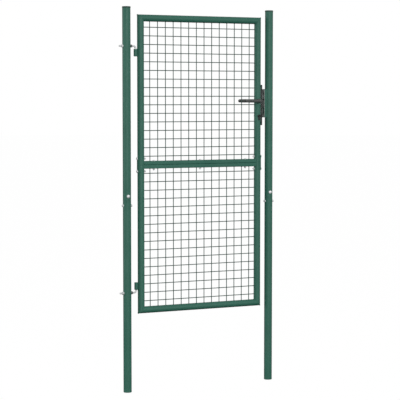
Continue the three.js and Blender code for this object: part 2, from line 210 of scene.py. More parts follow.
def outlinePlate(outlines, halfThick, edge, place):
    # a flat plate with holes: every outline is a closed list of (a, b), the first the outer one.
    # place turns (a, b, depth) into x, y, z
    curve = bpy.data.curves.new("outline", "CURVE")
    curve.dimensions = "2D"
    curve.fill_mode = "BOTH"
    curve.extrude = halfThick - edge
    curve.bevel_depth = edge
    curve.bevel_resolution = 2
    curve.offset = -edge
    for outline in outlines:
        spline = curve.splines.new("POLY")
        spline.points.add(len(outline) - 1)
        flat = np.zeros((len(outline), 4))
        flat[:, :2] = outline
        flat[:, 3] = 1
        spline.points.foreach_set("co", flat.ravel())
        spline.use_cyclic_u = True
    holder = bpy.data.objects.new("outline", curve)
    bpy.context.scene.collection.objects.link(holder)
    depsgraph = bpy.context.evaluated_depsgraph_get()
    mesh = bpy.data.meshes.new_from_object(holder.evaluated_get(depsgraph))
    co = readBack(mesh.vertices, "co", 3, float).reshape(-1, 3)
    mesh.vertices.foreach_set("co", place(co[:, 0], co[:, 1], co[:, 2]).ravel())
    solid = bmesh.new()
    solid.from_mesh(mesh)
    bmesh.ops.remove_doubles(solid, verts=solid.verts, dist=0.0005)
    bmesh.ops.recalc_face_normals(solid, faces=solid.faces)
    solid.to_mesh(mesh)
    solid.free()
    part = (readBack(mesh.vertices, "co", 3, float).reshape(-1, 3), readBack(mesh.loops, "vertex_index", 1, np.int32),
            readBack(mesh.polygons, "loop_total", 1, np.int32))
    bpy.data.objects.remove(holder)
    bpy.data.curves.remove(curve)
    bpy.data.meshes.remove(mesh)
    return part


def roundedOutline(halfA, halfB, radius, centre=(0, 0), steps=6):
    # a rectangle with quarter circles at its corners
    t = (np.arange(4)[:, None] + np.arange(steps + 1)[None] / steps) * np.pi / 2
    sa = np.array([1, -1, -1, 1])[:, None]
    sb = np.array([1, 1, -1, -1])[:, None]
    a = centre[0] + sa * (halfA - radius) + radius * np.cos(t)
    b = centre[1] + sb * (halfB - radius) + radius * np.sin(t)
    return np.stack([a, b], -1).reshape(-1, 2)


def circleOutline(radius, centre, sides=24):
    c, s = unitCircle(sides)
    return np.stack([centre[0] + radius * c, centre[1] + radius * s], -1)


def weldBead(path, normal, radius, ripple, closed=False):
    # a round bead whose radius rises and falls like laid coins along the path
    path = np.array(path, float)
    n = len(path)
    wave = 1 + ripple * np.sin(np.arange(n) * 2 * np.pi / 4) + 0.4 * ripple * np.sin(np.arange(n) * 1.7)
    if not closed:
        wave *= np.sqrt(np.clip(np.minimum(np.arange(n), n - 1 - np.arange(n)) / 2 + 0.15, 0, 1))
    return shell(sweptGrid(path, normal, radius * wave, radius * wave, 10, closed=closed), loop=closed)


def threadedGrid(axis, centre, radius, depth, pitch, low, high, sides=20, perTurn=6):
    # r(h, t) = radius - depth * |saw(h / pitch - t / 2 pi)|, tapered at both ends
    rows = max(int((high - low) / pitch * perTurn), 4)
    h = np.linspace(low, high, rows)[:, None]
    t = (np.arange(sides) * 2 * np.pi / sides)[None]
    saw = np.abs(((h / pitch - t / (2 * np.pi)) % 1) * 2 - 1)
    r = radius - depth * saw
    end = np.minimum(h - low, high - h)
    r = np.minimum(r, radius - depth * 1.6 + end)
    return onAxis(axis, r * np.cos(t), r * np.sin(t), h + 0 * t) + np.array(centre, float)


def nutGrid(axis, centre, across, inner, low, high, sides=72):
    # a hexagon cut by a 30 degree cone at both ends: r(h, t) = min(hexagon(t), cone(h)), with a round hole
    t = np.arange(sides) * 2 * np.pi / sides
    hexagon = across / 2 / np.cos(t % (np.pi / 3) - np.pi / 6)
    chamfer = across * 0.06
    h = np.array([low, low + chamfer * 0.35, low + chamfer, high - chamfer, high - chamfer * 0.35, high])
    cone = across / 2 * 0.97 + np.minimum(h - low, high - h) / math.tan(math.radians(30))
    outer = np.minimum(hexagon[None], cone[:, None])
    h = np.concatenate([h, [high, low]])
    r = np.concatenate([outer, np.full((2, sides), inner)])
    c, s = np.cos(t), np.sin(t)
    return onAxis(axis, r * c, r * s, h[:, None] + 0 * c) + np.array(centre, float)


def saddleGrid(axis, centre, outer, inner, reach, tubeRadius, sign, sides=40):
    # a washer from the round tube out to reach: its back lies at sqrt(stileRadius^2 - q^2), q being the offset across the tube
    c, s = unitCircle(sides)
    rows = []
    for r, top in ((inner, 0), (outer, 0), (outer + 0.4, 0.5), (outer, 1), (inner, 1)):
        u, v = r * c, r * s
        q = u if axis == "x" else v              # the across offset is Y for axis x and X for axis y
        back = np.sqrt(tubeRadius ** 2 - q ** 2)
        h = sign * (back + (reach - back) * top)
        rows.append(onAxis(axis, u, v, h))
    grid = np.stack(rows)
    return (grid if sign > 0 else grid[::-1]) + np.array(centre, float)


def domeProfile(radius, tall, base, sign, steps=8):
    # a spherical cap standing on base, listed from low to high along the axis
    a = np.linspace(0.04, 1, steps)
    curve = np.stack([radius * np.sin(a * np.pi / 2), base + sign * tall * np.cos(a * np.pi / 2)], 1)
    foot = [[radius, base]]
    rim = [[radius * 0.985, base + sign * 0.35]]
    return np.concatenate([curve[:-1], rim, foot])[:: -1 if sign > 0 else 1]


print("shape tools ready")


# materials

def nodeGroup(name, inputs, outputs):
    tree = bpy.data.node_groups.new(name, "ShaderNodeTree")
    kinds = {"c": "NodeSocketColor", "f": "NodeSocketFloat", "v": "NodeSocketVector"}
    for label, kind, value in inputs:
        socket = tree.interface.new_socket(name=label, in_out="INPUT", socket_type=kinds[kind])
        if value is not None:
            socket.default_value = value
    for label, kind in outputs:
        tree.interface.new_socket(name=label, in_out="OUTPUT", socket_type=kinds[kind])
    return tree, tree.nodes.new("NodeGroupInput"), tree.nodes.new("NodeGroupOutput")


def put(tree, kind, **values):
    # a node with its settings and unlinked inputs
    node = tree.nodes.new(kind)
    for key, value in values.items():
        if hasattr(node, key):
            setattr(node, key, value)
        else:
            node.inputs[key.replace("_", " ")].default_value = value
    return node


def noise(tree, vector, scale, detail=2.0, rough=0.5, stretch=None):
    if stretch is not None:
        turn = put(tree, "ShaderNodeMapping")
        turn.inputs["Scale"].default_value = stretch
        tree.links.new(vector, turn.inputs["Vector"])
        vector = turn.outputs["Vector"]
    node = put(tree, "ShaderNodeTexNoise", Scale=scale, Detail=detail, Roughness=rough)
    tree.links.new(vector, node.inputs["Vector"])
    return node.outputs["Fac"]


def ramp(tree, value, low, high, toLow=0.0, toHigh=1.0):
    node = put(tree, "ShaderNodeMapRange")
    for key, v in (("From Min", low), ("From Max", high), ("To Min", toLow), ("To Max", toHigh)):
        node.inputs[key].default_value = v
    tree.links.new(value, node.inputs["Value"])
    return node.outputs["Result"]


def maths(tree, kind, a, b):
    node = tree.nodes.new("ShaderNodeMath")
    node.operation = kind
    for socket, value in zip(node.inputs, (a, b)):
        if isinstance(value, (int, float)):
            socket.default_value = value
        else:
            tree.links.new(value, socket)
    return node.outputs[0]


def mixed(tree, factor, a, b, blend="MIX"):
    node = tree.nodes.new("ShaderNodeMix")
    node.data_type = "RGBA"
    node.blend_type = blend
    for key, value in ((0, factor), (6, a), (7, b)):
        if isinstance(value, (int, float, tuple)):
            node.inputs[key].default_value = value
        else:
            tree.links.new(value, node.inputs[key])
    return node.outputs[2]


def buildCoatTone():
    # powder coat colour: slow drift between two greens, fine pigment specks, worn edges and a film of dust
    tree, into, out = nodeGroup("coatTone", [("Vector", "v", None), ("Edge", "f", 0.0), ("Deep", "c", None),
                                             ("Light", "c", None), ("Worn", "c", None), ("Dust", "c", None),
                                             ("Wear", "f", 0.3), ("Dustiness", "f", 0.2)],
                                [("Color", "c"), ("Roughness", "f")])
    at = into.outputs
    drift = ramp(tree, noise(tree, at["Vector"], 5.0, 3.0), 0.3, 0.7)
    base = mixed(tree, drift, at["Deep"], at["Light"])
    specks = ramp(tree, noise(tree, at["Vector"], 1400.0, 1.0), 0.35, 0.7, 0.9, 1.12)
    base = mixed(tree, 1.0, base, specks, "MULTIPLY")
    chips = ramp(tree, noise(tree, at["Vector"], 160.0, 4.0, 0.65), 0.46, 0.62)
    worn = maths(tree, "MULTIPLY", maths(tree, "MULTIPLY", at["Edge"], chips), at["Wear"])
    base = mixed(tree, worn, base, at["Worn"])
    film = ramp(tree, noise(tree, at["Vector"], 14.0, 5.0, 0.6, (1, 1, 0.35)), 0.42, 0.75)
    film = maths(tree, "MULTIPLY", film, at["Dustiness"])
    base = mixed(tree, film, base, at["Dust"])
    tree.links.new(base, out.inputs["Color"])
    rough = ramp(tree, noise(tree, at["Vector"], 60.0, 3.0), 0.3, 0.7, 0.44, 0.56)
    rough = maths(tree, "ADD", rough, maths(tree, "MULTIPLY", film, 0.5))
    tree.links.new(maths(tree, "ADD", rough, maths(tree, "MULTIPLY", worn, 0.2)), out.inputs["Roughness"])
    return tree


def buildOrangePeel():
    # the fine ripple of a baked coat: two sizes of noise added
    tree, into, out = nodeGroup("orangePeel", [("Vector", "v", None), ("Fine", "f", 1.0), ("Coarse", "f", 0.5)],
                                [("Height", "f")])
    fine = maths(tree, "MULTIPLY", noise(tree, into.outputs["Vector"], 520.0, 2.0), into.outputs["Fine"])
    coarse = maths(tree, "MULTIPLY", noise(tree, into.outputs["Vector"], 90.0, 2.0), into.outputs["Coarse"])
    tree.links.new(maths(tree, "ADD", fine, coarse), out.inputs["Height"])
    return tree


def buildMetalSkin():
    # plated or drawn metal: crystal patches, fine scratches, darker grime away from the edges
    tree, into, out = nodeGroup("metalSkin", [("Vector", "v", None), ("Edge", "f", 0.0), ("Dark", "c", None),
                                              ("Bright", "c", None), ("Grime", "c", None), ("Patch", "f", 200.0),
                                              ("Smooth", "f", 0.25), ("Rough", "f", 0.5)],
                                [("Color", "c"), ("Roughness", "f"), ("Height", "f")])
    at = into.outputs
    cells = put(tree, "ShaderNodeTexVoronoi")
    tree.links.new(at["Vector"], cells.inputs["Vector"])
    tree.links.new(at["Patch"], cells.inputs["Scale"])
    split = put(tree, "ShaderNodeSeparateColor")
    tree.links.new(cells.outputs["Color"], split.inputs["Color"])
    patch = split.outputs[0]
    scratch = ramp(tree, noise(tree, at["Vector"], 90.0, 4.0, 0.7, (12, 12, 1)), 0.45, 0.62)
    tone = maths(tree, "ADD", maths(tree, "MULTIPLY", patch, 0.6), maths(tree, "MULTIPLY", scratch, 0.4))
    base = mixed(tree, tone, at["Dark"], at["Bright"])
    stain = ramp(tree, noise(tree, at["Vector"], 70.0, 5.0, 0.6), 0.5, 0.72, 0.0, 0.75)
    stain = maths(tree, "MULTIPLY", stain, ramp(tree, at["Edge"], 0.0, 0.6, 1.0, 0.2))
    base = mixed(tree, stain, base, at["Grime"])
    tree.links.new(base, out.inputs["Color"])
    spread = mixed(tree, maths(tree, "ADD", maths(tree, "MULTIPLY", tone, 0.5), stain), at["Smooth"], at["Rough"])
    tree.links.new(spread, out.inputs["Roughness"])
    tree.links.new(maths(tree, "ADD", maths(tree, "MULTIPLY", scratch, 0.5), stain), out.inputs["Height"])
    return tree


groups = {"coatTone": buildCoatTone(), "orangePeel": buildOrangePeel(), "metalSkin": buildMetalSkin()}


def startMaterial(name):
    material = bpy.data.materials.new(name)
    material.use_nodes = True
    tree = material.node_tree
    shader = tree.nodes["Principled BSDF"]
    where = tree.nodes.new("ShaderNodeTexCoord").outputs["Object"]
    edge = put(tree, "ShaderNodeAttribute", attribute_name="edge").outputs["Fac"]
    return material, tree, shader, where, edge


def useGroup(tree, name, links, **values):
    node = tree.nodes.new("ShaderNodeGroup")
    node.node_tree = groups[name]
    for key, socket in links.items():
        tree.links.new(socket, node.inputs[key])
    for key, value in values.items():
        node.inputs[key].default_value = value
    return node


def addRelief(tree, shader, height, depth, strength):
    bump = put(tree, "ShaderNodeBump", Strength=strength, Distance=depth)
    tree.links.new(height, bump.inputs["Height"])
    tree.links.new(bump.outputs["Normal"], shader.inputs["Normal"])


def coatMaterial(name, look):
    material, tree, shader, where, edge = startMaterial(name)
    tone = useGroup(tree, "coatTone", {"Vector": where, "Edge": edge}, Deep=look["deep"], Light=look["light"],
                    Worn=look["worn"], Dust=look["dust"], Wear=look["wear"], Dustiness=look["dustiness"])
    tree.links.new(tone.outputs["Color"], shader.inputs["Base Color"])
    tree.links.new(tone.outputs["Roughness"], shader.inputs["Roughness"])
    peel = useGroup(tree, "orangePeel", {"Vector": where}, Fine=look["fine"], Coarse=look["coarse"])
    addRelief(tree, shader, peel.outputs["Height"], look["depth"], look["strength"])
    shader.inputs["Specular IOR Level"].default_value = look["specular"]
    return material


def metalMaterial(name, look):
    material, tree, shader, where, edge = startMaterial(name)
    skin = useGroup(tree, "metalSkin", {"Vector": where, "Edge": edge}, Dark=look["dark"], Bright=look["bright"],
                    Grime=look["grime"], Patch=look["patch"], Smooth=look["smooth"], Rough=look["rough"])
    tree.links.new(skin.outputs["Color"], shader.inputs["Base Color"])
    tree.links.new(skin.outputs["Roughness"], shader.inputs["Roughness"])
    shader.inputs["Metallic"].default_value = look["metallic"]
    addRelief(tree, shader, skin.outputs["Height"], look["depth"], look["strength"])
    return material


greenLook = {"deep": (0.026, 0.116, 0.082, 1), "light": (0.033, 0.136, 0.097, 1), "worn": (0.09, 0.21, 0.16, 1),
             "dust": (0.13, 0.19, 0.16, 1), "wear": 0.45, "dustiness": 0.07, "fine": 0.6, "coarse": 0.5,
             "depth": 0.0004, "strength": 0.3, "specular": 0.3}
greenCoat = coatMaterial("mossGreenCoat", greenLook)
wireCoat = coatMaterial("wireCoat", dict(
    greenLook, deep=(0.016, 0.06, 0.044, 1), light=(0.02, 0.07, 0.052, 1), dustiness=0.05, wear=0.2, strength=0.2,
    specular=0.25))
beadCoat = coatMaterial("weldBeadCoat", dict(greenLook, deep=(0.03, 0.105, 0.075, 1), coarse=1.4, strength=0.6))
capPlastic = coatMaterial("capPlastic", dict(
    greenLook, deep=(0.017, 0.06, 0.043, 1), light=(0.022, 0.073, 0.053, 1), worn=(0.05, 0.11, 0.09, 1),
    dustiness=0.22, fine=1.0, depth=0.0003, specular=0.35))
darkCoat = coatMaterial("anthraciteCoat", dict(
    greenLook, deep=(0.046, 0.051, 0.049, 1), light=(0.062, 0.068, 0.066, 1), worn=(0.30, 0.31, 0.31, 1),
    dust=(0.16, 0.165, 0.16, 1), wear=0.55, dustiness=0.14, fine=1.0, coarse=0.2, depth=0.0002, strength=0.3,
    specular=0.55))
blackCoat = coatMaterial("blackSatin", dict(
    greenLook, deep=(0.010, 0.012, 0.012, 1), light=(0.016, 0.018, 0.018, 1), worn=(0.16, 0.17, 0.17, 1),
    dust=(0.06, 0.06, 0.06, 1), wear=0.3, dustiness=0.1, fine=0.5, coarse=0.2, depth=0.0002, strength=0.3))
# the strike plate's own grey, lightened further as painted light to make up for the shade it sits in, facing the leaf
# across the gap
greyPaintedLightCoat = coatMaterial("greySatinPaintedLight", dict(
    greenLook, deep=(0.22, 0.24, 0.23, 1), light=(0.27, 0.29, 0.28, 1), worn=(0.42, 0.43, 0.43, 1),
    dust=(0.2, 0.2, 0.2, 1), wear=0.5, dustiness=0.14, fine=0.8, coarse=0.2, depth=0.0002, strength=0.3))
zincLook = {"dark": (0.66, 0.68, 0.69, 1), "bright": (0.86, 0.87, 0.88, 1), "grime": (0.36, 0.35, 0.33, 1),
            "patch": 260.0, "smooth": 0.4, "rough": 0.58, "metallic": 0.4,
            "depth": 0.0001, "strength": 0.35}
zincBright = metalMaterial("brightZinc", zincLook)
# the same zinc made far darker: painted shade on the inner hinge nuts and on the latch and dead bolts, which sit in
# the gaps between post, leaf and strike
zincPaintedShade = metalMaterial("paintedShadeZinc", dict(
    zincLook, dark=(0.11, 0.12, 0.12, 1), bright=(0.22, 0.23, 0.225, 1), grime=(0.05, 0.05, 0.045, 1)))
innerSteel = metalMaterial("galvanisedSteel", dict(
    zincLook, dark=(0.30, 0.32, 0.33, 1), bright=(0.50, 0.52, 0.53, 1), grime=(0.16, 0.15, 0.14, 1), patch=90.0,
    metallic=0.85))
print("materials ready")


def level(value):
    # the height of a square cut, the same all round
    return lambda u, v: value + 0 * u


# posts

post = {"radius": 24.0, "wall": 2.0, "lip": 0.6, "sides": 96, "capRadius": 25.0, "capRound": 2.6,
        "capNotch": 0.7, "washer": 9.0, "sideWasher": 8.0, "head": 10.4, "bolt": 4.0, "nut": 13.0, "sideNut": 4.2}


def capGrid(x, low, high):
    # a moulded cap: a plain skirt inside the post, then a lip, a rounded rim and a shallow crown
    edge = high - 2.0
    a = np.linspace(0, np.pi / 2, 6)
    rim = np.stack([post["capRadius"] - post["capRound"] * (1 - np.cos(a)), edge - 1.6 + post["capRound"] * 1.3 * np.sin(a)], 1)
    crown = [[r, rim[-1, 1] + (high - rim[-1, 1]) * math.cos(r / 22.4 * math.pi / 2)] for r in (20, 15, 9, 4, 0.6)]
    seat = high - 8.7
    skirt = [[18.6, low], [19.8, low + 2], [19.8, seat - 0.4]]
    profile = skirt + [[post["capRadius"] - post["capNotch"], seat], [post["capRadius"], seat + 0.8]] + rim.tolist() + crown
    return turnedGrid("z", (x, 0, 0), profile, post["sides"])


def throughBolt(axis, at, headBase, headOut, nutBase, nutTop, tip, head=9.3):
    # domed head, shank, chamfered nut and the threaded tip, along one axis; sign gives the head's side
    sign = 1 if headOut > headBase else -1
    tall = abs(headOut - headBase)
    parts = [shell(turnedGrid(axis, at, domeProfile(head, tall, headBase, sign), 40))]
    inner, outer = sorted((headBase, nutBase))
    parts.append(shell(turnedGrid(axis, at, [[3.9, inner], [3.9, outer]], 20)))
    low, high = sorted((nutBase, nutTop))
    parts.append(shell(nutGrid(axis, at, post["nut"], 3.7, low, high), loop=True))
    low, high = sorted((nutBase, tip))
    parts.append(shell(threadedGrid(axis, at, post["bolt"], 0.5, 1.25, low, high)))
    return parts


def hexHead(axis, at, across, low, high, sign):
    # a bolt's hexagon head: the nut's outside, closed by a slightly raised face with a ring round it
    grid = nutGrid(axis, (0, 0, 0), across, 1.0, low, high)[:6]
    t = np.arange(72) * 2 * np.pi / 72
    face = high if sign > 0 else low
    rows = [onAxis(axis, r * np.cos(t), r * np.sin(t), face - sign * dip + 0 * t)
            for r, dip in ((across * 0.40, 0), (across * 0.36, 0.25), (0.5, 0.25))]
    grid = np.concatenate([grid, rows]) if sign > 0 else np.concatenate([rows[::-1], grid])
    return shell(grid + np.array(at, float))


for side in ("hinge", "latch"):
    x = gate[side + "PostX"]
    for half in ("lower", "upper"):
        low, high = spanOf(f"{side}_post_{half}")
        wall = tubeGrid("z", (x, 0, 0), post["radius"], post["wall"], level(low[2]), level(high[2]),
                        post["lip"], post["sides"])
        makePiece(f"{side}Post{half.title()}Tube", [shell(wall, loop=True)], greenCoat, "posts",
                  [f"{side}_post_{half}"])
    low, high = spanOf(f"{side}_post_cap")
    makePiece(f"{side}PostCap", [shell(capGrid(x, low[2], high[2]))], capPlastic, "posts",
              [f"{side}_post_cap"])

    node = f"{side}_post_carriage_bolt"
    low, high = spanOf(node)
    at = (x, 0, middleOf(node)[2])
    reach = post["radius"] + 2.5
    parts = throughBolt("y", at, -post["radius"] + 0.9, low[1] + 0.1, reach, reach + 6.5, high[1], post["head"])
    parts.append(shell(saddleGrid("y", at, post["washer"], 4.1, reach, post["radius"], 1), loop=True))
    makePiece(f"{side}PostCarriageBolt", parts, zincBright, "posts", [node])

    node = f"{side}_post_cross_bolt"
    low, high = spanOf(node)
    at = (x, 0, middleOf(node)[2])
    parts = [shell(saddleGrid("x", at, post["sideWasher"], 4.1, reach, post["radius"], s), loop=True) for s in (-1, 1)]
    parts.append(shell(nutGrid("x", at, post["nut"], 3.7, -reach - post["sideNut"], -reach), loop=True))
    parts.append(shell(threadedGrid("x", at, post["bolt"], 0.5, 1.25, low[0] - x, -reach + 2)))
    parts.append(hexHead("x", at, post["nut"], reach, reach + 5.5, 1))
    parts.append(shell(turnedGrid("x", at, [[3.9, -reach + 1], [3.9, reach + 1]], 20)))
    makePiece(f"{side}PostCrossBolt", parts, zincBright, "posts", [node])
print("posts ready")


# hinges

hinge = {"rod": 5.0, "bend": 13.5, "pitch": 1.5, "thread": 0.55, "nut": 16.0, "washer": 9.0,
         "barrel": 11.0, "barrelWall": 5.4, "barrelLip": 1.0, "bead": 1.3, "beadDepth": 3.1}
pinX = middleOf("top_hinge_barrel")[0]


def hookShell(startX, z, turn, pinEnd):
    # a rod along X that bends up or down into a pin; r(s, t) = R - depth * saw(s / pitch - t / 2 pi) on its threads
    straightEnd = pinX - hinge["bend"]
    reach = gate["hingePostX"] + 45
    xs = np.concatenate([np.arange(startX, startX + 30, 0.25), np.arange(startX + 30, reach - 20, 2.0),
                         np.arange(reach - 20, reach, 0.25), np.linspace(reach, straightEnd, 3)])
    straight = np.stack([xs, 0 * xs, z + 0 * xs], 1)
    a = np.linspace(0, np.pi / 2, 15)[1:]
    bend = np.stack([straightEnd + hinge["bend"] * np.sin(a), 0 * a, z + turn * hinge["bend"] * (1 - np.cos(a))], 1)
    first = z + turn * hinge["bend"]
    zs = np.append(np.linspace(first, pinEnd - turn * 1.6, 6)[1:], [pinEnd - turn * 0.6, pinEnd])
    pin = np.stack([pinX + 0 * zs, 0 * zs, zs], 1)
    path = np.concatenate([straight, bend, pin])
    t = (np.arange(28) * 2 * np.pi / 28)[None]
    s = path[:, :1] - startX
    saw = np.abs(((s / hinge["pitch"] - t / (2 * np.pi)) % 1) * 2 - 1)
    threaded = (path[:, :1] < reach) & (np.abs(path[:, 2:3] - z) < 0.01)
    r = hinge["rod"] - np.where(threaded, hinge["thread"] * saw, 0)
    r = np.minimum(r, hinge["rod"] - 1.3 + s)
    r[-1] -= 1.4
    r[-2] -= 0.4
    return shell(sweptGrid(path, (0, 1, 0), r, r, 28))


for end, turn in (("bottom", 1), ("top", -1)):
    node = f"{end}_hinge_hook"
    low, high = spanOf(node)
    z = low[2] + hinge["rod"] if turn > 0 else high[2] - hinge["rod"]
    pinEnd = high[2] if turn > 0 else low[2]
    makePiece(f"{end}HingeHook", [hookShell(low[0], z, turn, pinEnd)], zincBright, "posts", [node], 40)
    # the inner nut takes the darkened zinc, painted shade where it sits between post and leaf
    for where, sign, finish, slotName in (("outer", -1, zincBright, "zinc"), ("inner", 1, zincPaintedShade, "darkzinc")):
        at = (gate["hingePostX"], 0, z)
        a, b = sorted((sign * (post["radius"] + 2.9), sign * (post["radius"] + 9)))
        parts = [shell(nutGrid("x", at, hinge["nut"], 4.6, a, b), loop=True),
                 shell(saddleGrid("x", at, hinge["washer"], 5.2, post["radius"] + 3, post["radius"], sign), loop=True)]
        makePiece(f"{end}Hinge{where.title()}Nut", parts, finish, "posts", [f"{end}_hinge_{where}_nut"])

    node = f"{end}_hinge_barrel"
    low, high = spanOf(node)
    barrel = tubeGrid("z", (pinX, 0, 0), hinge["barrel"], hinge["barrelWall"], level(low[2]), level(high[2]),
                      hinge["barrelLip"], 64)
    makePiece(f"{end}HingeBarrel", [shell(barrel, loop=True)], greenCoat, "leaf", [node])
    zs = np.arange(low[2] + 1.5, high[2] - 1.2, 0.9)
    beads = [weldBead(np.stack([pinX + 11.0 + 0 * zs, y + 0 * zs, zs], 1), (0, math.copysign(1, y), 0),
                      hinge["bead"], 0.14) for y in (-hinge["beadDepth"], hinge["beadDepth"])]
    makePiece(f"{end}HingeWelds", beads, beadCoat, "leaf")
print("hinges ready")


# leaf frame

leafFrame = {"bead": 1.7, "collarThick": 3.0, "collarHalf": 80.0, "collarRound": 9.0, "bolt": 4.0,
             "midHalfDeep": 15.0, "midRound": 3.2}
sweepX = {"hinge": gate["hingeStileX"], "latch": gate["latchStileX"]}
inward = {"hinge": 1, "latch": -1}
stileRadius = tube["radius"]

for end, sign in (("bottom", 1), ("top", -1)):
    # mitred where the stiles meet the rails: x = stile +/- (z - rail)
    rail = tubeGrid("x", (0, 0, gate[end + "RailZ"]), stileRadius, tube["wall"],
                    lambda u, v: sweepX["hinge"] + sign * v + 0.15, lambda u, v: sweepX["latch"] - sign * v - 0.15,
                    tube["lip"], tube["sides"])
    makePiece(f"{end}RailTube", [shell(rail, loop=True)], greenCoat, "leaf", [f"{end}_rail"])

for side in ("hinge", "latch"):
    x, s = sweepX[side], inward[side]
    low, high = spanOf(f"{side}_stile_lower")
    lower = tubeGrid("z", (x, 0, 0), stileRadius, tube["wall"], lambda u, v: gate["bottomRailZ"] + s * u + 0.15,
                     level(high[2]), tube["lip"], tube["sides"])
    makePiece(f"{side}StileLowerTube", [shell(lower, loop=True)], greenCoat, "leaf",
              [f"{side}_stile_lower"])
    low, high = spanOf(f"{side}_stile_upper")
    upper = tubeGrid("z", (x, 0, 0), stileRadius, tube["wall"], level(low[2]),
                     lambda u, v: gate["topRailZ"] - s * u - 0.15, tube["lip"], tube["sides"])
    makePiece(f"{side}StileUpperTube", [shell(upper, loop=True)], greenCoat, "leaf",
              [f"{side}_stile_upper"])

    # beads round both mitres, on the ellipse where the tubes meet
    a = np.linspace(0, 2 * np.pi, 140, endpoint=False)
    beads = []
    for end, up in (("bottom", 1), ("top", -1)):
        v = 19.5 * np.cos(a)
        ring = np.stack([x + s * up * v, 19.5 * np.sin(a), gate[end + "RailZ"] + v], 1)
        out = np.stack([0 * a, np.sin(a), np.cos(a)], 1)
        beads.append(weldBead(ring, out, leafFrame["bead"], 0.1, closed=True))
    makePiece(f"{side}StileCornerWelds", beads, beadCoat, "leaf")


def collarGrid(x, outSign, low, high):
    # a bent tongue round the outer half of the stile: the angle it covers narrows to round corners at both ends
    thick, corner = leafFrame["collarThick"], leafFrame["collarRound"]
    edge = np.array([0, 0.1, 0.3, 0.6, 1.0]) * corner
    z = np.concatenate([low + edge, [(low + high) / 2], (high - edge)[::-1]])
    q = np.clip(np.minimum(z - low, high - z) / corner, 0, 1)
    reach = np.radians(leafFrame["collarHalf"]) - (corner / 23) * (1 - np.sqrt(1 - (1 - q) ** 2))
    g = np.linspace(-1, 1, 29)
    inner, outer = stileRadius + 0.25, stileRadius + thick
    lift = 0.55 * np.clip(1 - q * 3, 0, 1)[:, None]
    turnOut = reach[:, None] * g[None]
    back = turnOut[:, ::-1]
    ang = np.concatenate([turnOut, back], 1)
    soft = np.ones(29)
    soft[[0, -1]] = 0
    rOut = outer - lift - 0.5 * (1 - soft)[None] + 0 * turnOut
    rad = np.concatenate([rOut, np.full_like(back, inner)], 1)
    px = x + outSign * rad * np.cos(ang)
    py = outSign * rad * np.sin(ang)
    return np.stack([px, py, z[:, None] + 0 * px], -1)


for side in ("hinge", "latch"):
    x, s = sweepX[side], -inward[side]
    low, high = spanOf(f"{side}_stile_collar")
    makePiece(f"{side}StileCollar", [shell(collarGrid(x, s, low[2], high[2]))], greenCoat, "leaf",
              [f"{side}_stile_collar"])
    for half in ("lower", "upper"):
        node = f"{side}_stile_{half}_bolt"
        low, high = spanOf(node)
        z = (low[2] + high[2]) / 2
        far = high[0] - x if s > 0 else low[0] - x
        tip = low[0] - x if s > 0 else high[0] - x
        parts = throughBolt("x", (x, 0, z), s * (stileRadius + 2.6), far, -s * stileRadius, -s * (stileRadius + 6.5), tip)
        makePiece(f"{side}Stile{half.title()}Bolt", parts, zincBright, "leaf", [node])


def midRailShell(low, high):
    # a rounded box tube along X, coped to the stiles: x = stile +/- sqrt(stileRadius^2 - y^2)
    halfTall, middle = (high[2] - low[2]) / 2, (high[2] + low[2]) / 2
    outline = roundedOutline(leafFrame["midHalfDeep"], halfTall, leafFrame["midRound"], steps=8)
    y, z = outline[:, 0], outline[:, 1] + middle
    cope = np.sqrt(stileRadius ** 2 - y ** 2)
    start, end = sweepX["hinge"] + cope - 0.4, sweepX["latch"] - cope + 0.4
    xs = np.stack([start, start + 3, end - 3, end])
    return shell(np.stack([xs, y + 0 * xs, z + 0 * xs], -1))


def midRailBeads(low, high):
    # beads laid where the outline meets each stile
    outline = roundedOutline(leafFrame["midHalfDeep"], (high[2] - low[2]) / 2, leafFrame["midRound"], steps=14)
    gone = np.concatenate([outline, outline[:1]])
    step = np.append(0, np.cumsum(np.linalg.norm(np.diff(gone, axis=0), axis=1)))
    d = np.arange(0, step[-1] - 0.4, 0.85)
    y, z = np.interp(d, step, gone[:, 0]), np.interp(d, step, gone[:, 1])
    beads = []
    for side in ("hinge", "latch"):
        ring = np.stack([sweepX[side] + inward[side] * np.sqrt(stileRadius ** 2 - y ** 2), y, z + (high[2] + low[2]) / 2], 1)
        beads.append(weldBead(ring, (inward[side], 0, 0), 1.6, 0.13, closed=True))
    return beads


beads = []
for half in ("lower", "upper"):
    low, high = spanOf(f"{half}_mid_rail")
    makePiece(f"{half}MidRailTube", [midRailShell(low, high)], greenCoat, "leaf", [f"{half}_mid_rail"])
    beads += midRailBeads(low, high)
makePiece("midRailWelds", beads, beadCoat, "leaf")

for where in ("left", "middle", "right"):
    node = f"mid_rail_{where}_bolt"
    low, high = spanOf(node)
    centre = (low + high) / 2
    mid = gate["middleZ"]
    parts = throughBolt("z", (centre[0], 0, mid), 22.3, high[2] - mid, -22.4, -28.9, low[2] - mid)
    makePiece(f"midRail{where.title()}Bolt", parts, zincBright, "leaf", [node])
print("leaf frame ready")


# welded mesh

grille = {"wire": 2.4, "sides": 12, "layer": 1.7, "weld": 3.0}


def wireShell(length, radius, sides):
    # a straight wire up Z with a rounded end at both ends
    a = np.array([0.35, 0.75, 1.0])
    near = np.stack([radius * np.sin(a * np.pi / 2), radius * (1 - np.cos(a * np.pi / 2)) * 0.6], 1)
    profile = np.concatenate([near, [[radius, 8.0], [radius, length - 8.0]], near[::-1] * [1, -1] + [0, length]])
    return turnedGrid("z", (0, 0, 0), profile, sides)


def flowShell(half):
    # the metal squeezed out where two wires are fused: r(h) = a half wave, flattened across the wires
    a = np.linspace(0.12, np.pi - 0.12, 5)
    profile = np.stack([grille["weld"] * np.sin(a), -half * np.cos(a)], 1)
    return turnedGrid("y", (0, 0, 0), profile, 8)


